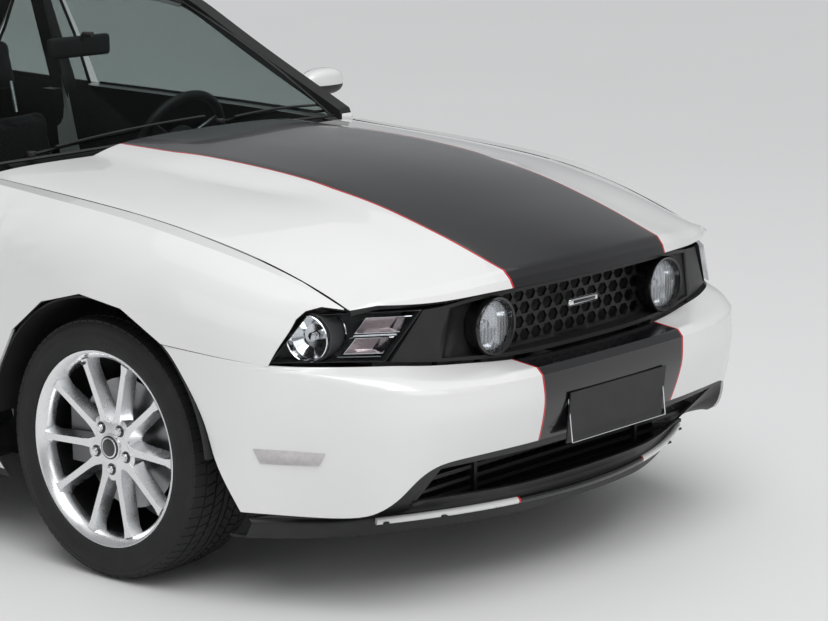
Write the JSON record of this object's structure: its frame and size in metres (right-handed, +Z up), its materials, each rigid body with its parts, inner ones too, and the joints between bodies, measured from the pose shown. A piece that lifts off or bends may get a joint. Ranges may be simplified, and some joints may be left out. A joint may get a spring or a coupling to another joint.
{
  "type": "two-door muscle coupe",
  "caption": "Full-size two-door muscle coupe with opening hood, doors and trunk lid, steered front wheels and a furnished cabin.",
  "frame": {"origin": "floor level under the middle of the car's outline", "axes": "-Y towards the nose, +X towards the car's left side, +Z up"},
  "size_m": [2.0268, 4.7707, 1.407],
  "materials": {
    "body_paint": "pearl white gloss with a black centre stripe",
    "black_plastic": "satin black",
    "underbody": "painted steel with black underbody coat",
    "lamp_clear": "clear lamp lenses",
    "lamp_red": "red lamp lenses",
    "glass": "lightly tinted glass",
    "cabin_plastic": "grained charcoal",
    "cabin_leather": "black leather",
    "seat_leather": "charcoal leather",
    "cast_metal": "as cast",
    "steel": "brushed",
    "plate": "blank black plate",
    "tyre": "black rubber",
    "alloy": "bright silver lacquer",
    "disc_steel": "machined"
  },
  "bodies": {
    "body": {"floor_pan": "underbody", "body_side_left": "body_paint", "body_side_right": "body_paint", "roof": "body_paint", "front_fender_left": "body_paint", "front_fender_right": "body_paint", "front_bumper": "body_paint", "lower_front_trim": "black_plastic", "grille": "black_plastic", "grille_lamps": "lamp_clear", "headlights": "lamp_clear", "cowl": "black_plastic", "rear_bumper": "body_paint", "tail_lights": "lamp_red", "windshield": "glass", "rear_window": "glass", "quarter_windows": "glass", "dashboard": "cabin_plastic", "front_seat_left": "seat_leather", "front_seat_right": "seat_leather", "rear_seat": "seat_leather", "engine_block": "cast_metal", "front_subframe": "underbody", "rear_axle": "underbody", "exhaust": "steel", "wheel_liners": "black_plastic", "number_plate": "plate"},
    "hood": {"hood": "body_paint"},
    "left_door": {"door_left": "body_paint", "door_glass_left": "glass", "mirror_left": "body_paint"},
    "right_door": {"door_right": "body_paint", "door_glass_right": "glass", "mirror_right": "body_paint"},
    "trunk": {"trunk_lid": "body_paint"},
    "steering_column": {"steering_wheel": "cabin_leather"},
    "left_knuckle": {"knuckle_left": "cast_metal"},
    "right_knuckle": {"knuckle_right": "cast_metal"},
    "front_left_wheel": {"tyre_front_left": "tyre", "rim_front_left": "alloy", "disc_front_left": "disc_steel"},
    "front_right_wheel": {"tyre_front_right": "tyre", "rim_front_right": "alloy", "disc_front_right": "disc_steel"},
    "rear_left_wheel": {"tyre_rear_left": "tyre", "rim_rear_left": "alloy", "disc_rear_left": "disc_steel"},
    "rear_right_wheel": {"tyre_rear_right": "tyre", "rim_rear_right": "alloy", "disc_rear_right": "disc_steel"}
  },
  "joints": [
    {"name": "hood_hinge", "type": "hinge", "parent": "body", "child": "hood", "pos_m": [0, -0.789, 0.985], "axis": [-1, 0, 0], "range_deg": [0, 50]},
    {"name": "left_door_hinge", "type": "hinge", "parent": "body", "child": "left_door", "pos_m": [0.895, -0.754, 0.6], "axis": [0, 0, -1], "range_deg": [0, 65]},
    {"name": "right_door_hinge", "type": "hinge", "parent": "body", "child": "right_door", "pos_m": [-0.895, -0.754, 0.6], "axis": [0, 0, 1], "range_deg": [0, 65]},
    {"name": "trunk_hinge", "type": "hinge", "parent": "body", "child": "trunk", "pos_m": [0, 1.551, 1.07], "axis": [1, 0, 0], "range_deg": [0, 75]},
    {"name": "left_steer", "type": "hinge", "parent": "body", "child": "left_knuckle", "pos_m": [0.742, -1.424, 0.214], "axis": [-0.2295, 0, 0.9733], "range_deg": [-33, 33]},
    {"name": "right_steer", "type": "hinge", "parent": "body", "child": "right_knuckle", "pos_m": [-0.742, -1.424, 0.214], "axis": [0.2295, 0, 0.9733], "range_deg": [-33, 33]},
    {"name": "steering_wheel_turn", "type": "hinge", "parent": "body", "child": "steering_column", "pos_m": [0.36, -0.434, 0.893], "axis": [0, 0.9272, 0.3746], "range_deg": [-520, 520]},
    {"name": "front_left_wheel_spin", "type": "hinge", "parent": "left_knuckle", "child": "front_left_wheel", "pos_m": [0.773, -1.424, 0.339], "axis": [1, 0, 0], "continuous": true},
    {"name": "front_right_wheel_spin", "type": "hinge", "parent": "right_knuckle", "child": "front_right_wheel", "pos_m": [-0.773, -1.424, 0.339], "axis": [1, 0, 0], "continuous": true},
    {"name": "rear_left_wheel_spin", "type": "hinge", "parent": "body", "child": "rear_left_wheel", "pos_m": [0.773, 1.296, 0.339], "axis": [1, 0, 0], "continuous": true},
    {"name": "rear_right_wheel_spin", "type": "hinge", "parent": "body", "child": "rear_right_wheel", "pos_m": [-0.773, 1.296, 0.339], "axis": [1, 0, 0], "continuous": true}
  ],
  "couplings": [
    {"joint": "right_steer", "follows": "left_steer", "ratio": 1},
    {"joint": "steering_wheel_turn", "follows": "left_steer", "ratio": 15.7}
  ]
}
